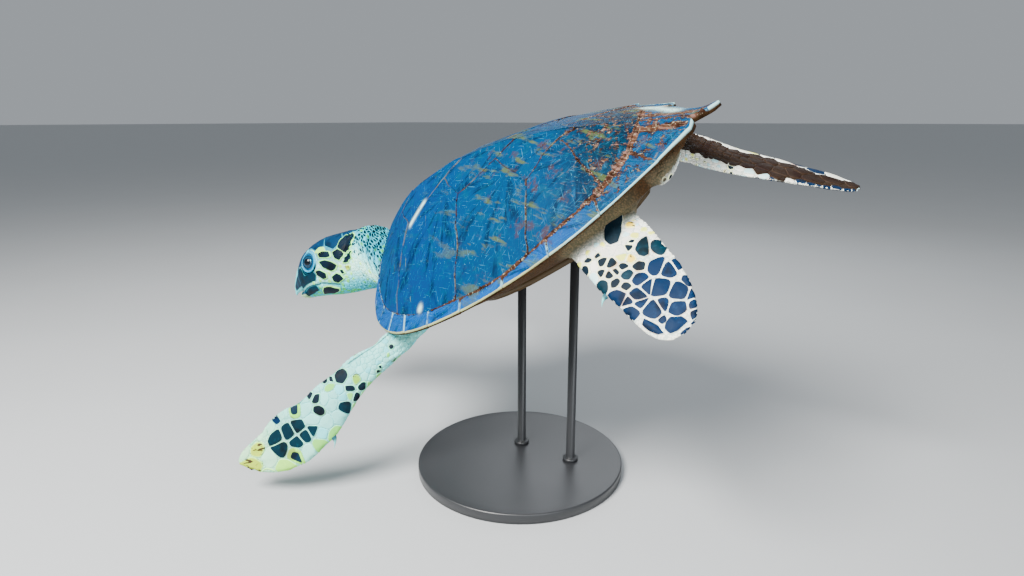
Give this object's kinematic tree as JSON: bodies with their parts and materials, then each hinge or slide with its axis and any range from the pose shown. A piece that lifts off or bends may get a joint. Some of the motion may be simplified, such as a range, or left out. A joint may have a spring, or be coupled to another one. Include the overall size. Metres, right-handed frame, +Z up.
{
  "type": "hawksbill sea turtle display model",
  "caption": "Life-size still model of a swimming hawksbill sea turtle, diving and banked, held by two rods on a flat round display base.",
  "frame": {"origin": "centre of the underside of the stand's round base, on the floor", "axes": "+Z up, the turtle swims towards -Y, nose down 26 degrees and banked 32 degrees to its left (+X side low)"},
  "size_m": [0.759, 1.0356, 0.657],
  "materials": {
    "skin": "scaled skin, satin",
    "shell_plates": "horn plates, satin",
    "rim_plates": "horn plates, satin",
    "plastron": "horn plates, satin",
    "horn": "horn, satin",
    "eye": "glossy",
    "stand": "satin black paint"
  },
  "bodies": {
    "root": {"beak_lower": "horn", "beak_upper": "horn", "claw_front_left": "horn", "claw_front_right": "horn", "claw_rear_left": "horn", "claw_rear_right": "horn", "costal_left_1": "shell_plates", "costal_left_2": "shell_plates", "costal_left_3": "shell_plates", "costal_left_4": "shell_plates", "costal_right_1": "shell_plates", "costal_right_2": "shell_plates", "costal_right_3": "shell_plates", "costal_right_4": "shell_plates", "eye_left": "eye", "eye_right": "eye", "flipper_front_left": "skin", "flipper_front_right": "skin", "flipper_rear_left": "skin", "flipper_rear_right": "skin", "head": "skin", "marginal_left_1": "rim_plates", "marginal_left_10": "rim_plates", "marginal_left_11": "rim_plates", "marginal_left_12": "rim_plates", "marginal_left_2": "rim_plates", "marginal_left_3": "rim_plates", "marginal_left_4": "rim_plates", "marginal_left_5": "rim_plates", "marginal_left_6": "rim_plates", "marginal_left_7": "rim_plates", "marginal_left_8": "rim_plates", "marginal_left_9": "rim_plates", "marginal_right_1": "rim_plates", "marginal_right_10": "rim_plates", "marginal_right_11": "rim_plates", "marginal_right_12": "rim_plates", "marginal_right_2": "rim_plates", "marginal_right_3": "rim_plates", "marginal_right_4": "rim_plates", "marginal_right_5": "rim_plates", "marginal_right_6": "rim_plates", "marginal_right_7": "rim_plates", "marginal_right_8": "rim_plates", "marginal_right_9": "rim_plates", "neck": "skin", "nuchal": "rim_plates", "plastron": "plastron", "stand_base": "stand", "stand_rod_front": "stand", "stand_rod_rear": "stand", "tail": "skin", "trunk": "skin", "vertebral_1": "shell_plates", "vertebral_2": "shell_plates", "vertebral_3": "shell_plates", "vertebral_4": "shell_plates", "vertebral_5": "shell_plates"}
  },
  "joints": []
}
